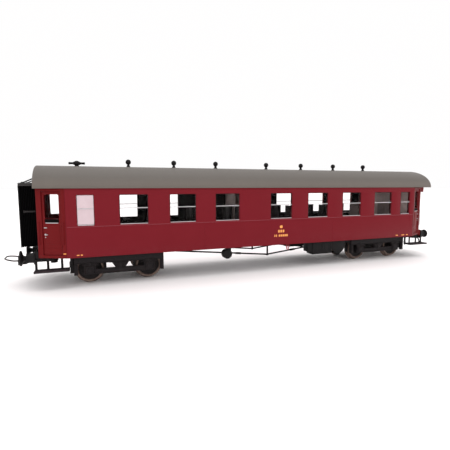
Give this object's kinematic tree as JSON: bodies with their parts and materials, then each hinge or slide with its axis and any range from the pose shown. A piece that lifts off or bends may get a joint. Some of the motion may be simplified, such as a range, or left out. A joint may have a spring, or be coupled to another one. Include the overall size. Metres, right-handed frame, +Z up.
{
  "type": "model railway passenger coach",
  "caption": "Scale model of a crimson bogie passenger coach with tapered ends, grey arched roof, bellows at one end, swivelling bogies, rolling wheels and bow couplings.",
  "frame": {"origin": "middle of the coach in plan, at the height of the wheel flanges' lowest points", "axes": "+X along the coach to its front end (without bellows), +Y to its left, +Z up"},
  "size_m": [0.2312, 0.0348, 0.0532],
  "materials": {
    "side_paint": "satin crimson printed plastic",
    "entrance_paint": "satin dark crimson plastic",
    "roof_paint": "matt warm grey",
    "cap_paint": "matt grey",
    "black_plastic": "matt black moulded plastic",
    "bow_wire": "blackened wire",
    "steel": "turned steel",
    "ballast_steel": "plain sheet steel",
    "wheel_metal": "browned metal",
    "seat_plastic": "matt dark brown plastic",
    "clear_glass": "clear plastic glazing",
    "frosted_glass": "white frosted glazing",
    "silver_print": "silver printed frames"
  },
  "bodies": {
    "coach": {"ballast_weight": "ballast_steel", "battery_boxes": "black_plastic", "bellows_cap": "cap_paint", "bogie_pivots": "steel", "brake_hangers": "black_plastic", "buffer_beams": "side_paint", "buffer_heads": "black_plastic", "buffer_sleeves": "black_plastic", "centre_sills": "black_plastic", "coupler_mounts": "black_plastic", "cross_members": "black_plastic", "door_glass": "clear_glass", "drain_pipes": "black_plastic", "dynamo": "black_plastic", "entrance_doors": "entrance_paint", "footboards": "black_plastic", "front_entrance": "entrance_paint", "front_gangway": "black_plastic", "gangway_doors": "entrance_paint", "interior_floor": "seat_plastic", "left_side_wall": "side_paint", "left_window_frames": "silver_print", "left_window_glass": "clear_glass", "partitions": "seat_plastic", "rear_bellows": "black_plastic", "rear_entrance": "entrance_paint", "right_side_wall": "side_paint", "right_window_frames": "silver_print", "right_window_glass": "clear_glass", "roof": "roof_paint", "roof_vents": "black_plastic", "seats": "seat_plastic", "side_sills": "black_plastic", "tables": "seat_plastic", "toilet_glass": "frosted_glass", "torpedo_vent": "black_plastic", "truss_rods": "black_plastic", "underframe": "black_plastic"},
    "rear_bogie": {"rear_bogie_frame": "black_plastic", "rear_bogie_brakes": "black_plastic"},
    "front_bogie": {"front_bogie_frame": "black_plastic", "front_bogie_brakes": "black_plastic"},
    "rear_coupling": {"rear_coupler": "black_plastic"},
    "front_coupling": {"front_coupler": "black_plastic"},
    "rear_loop": {"rear_bow": "bow_wire"},
    "front_loop": {"front_bow": "bow_wire"},
    "wheelset_1": {"wheels_1": "wheel_metal", "axle_1": "steel"},
    "wheelset_2": {"wheels_2": "wheel_metal", "axle_2": "steel"},
    "wheelset_3": {"wheels_3": "wheel_metal", "axle_3": "steel"},
    "wheelset_4": {"wheels_4": "wheel_metal", "axle_4": "steel"}
  },
  "joints": [
    {"name": "rear_bogie_swivel", "type": "hinge", "parent": "coach", "child": "rear_bogie", "pos_m": [-0.07021, 0, 0.0063], "axis": [0, 0, 1], "range_deg": [-10, 10]},
    {"name": "front_bogie_swivel", "type": "hinge", "parent": "coach", "child": "front_bogie", "pos_m": [0.07021, 0, 0.0063], "axis": [0, 0, 1], "range_deg": [-10, 10]},
    {"name": "wheelset_1_spin", "type": "hinge", "parent": "rear_bogie", "child": "wheelset_1", "pos_m": [-0.08256, 0, 0.0063], "axis": [0, 1, 0], "continuous": true},
    {"name": "wheelset_2_spin", "type": "hinge", "parent": "rear_bogie", "child": "wheelset_2", "pos_m": [-0.05785, 0, 0.0063], "axis": [0, 1, 0], "continuous": true},
    {"name": "wheelset_3_spin", "type": "hinge", "parent": "front_bogie", "child": "wheelset_3", "pos_m": [0.05785, 0, 0.0063], "axis": [0, 1, 0], "continuous": true},
    {"name": "wheelset_4_spin", "type": "hinge", "parent": "front_bogie", "child": "wheelset_4", "pos_m": [0.08256, 0, 0.0063], "axis": [0, 1, 0], "continuous": true},
    {"name": "rear_coupling_swing", "type": "hinge", "parent": "coach", "child": "rear_coupling", "pos_m": [-0.097, 0, 0.0099], "axis": [0, 0, 1], "range_deg": [-12, 12]},
    {"name": "rear_bow_lift", "type": "hinge", "parent": "rear_coupling", "child": "rear_loop", "pos_m": [-0.10851, 0, 0.0102], "axis": [0, 1, 0], "range_deg": [0, 25]},
    {"name": "front_coupling_swing", "type": "hinge", "parent": "coach", "child": "front_coupling", "pos_m": [0.097, 0, 0.0099], "axis": [0, 0, 1], "range_deg": [-12, 12]},
    {"name": "front_bow_lift", "type": "hinge", "parent": "front_coupling", "child": "front_loop", "pos_m": [0.10851, 0, 0.0102], "axis": [0, -1, 0], "range_deg": [0, 25]}
  ]
}
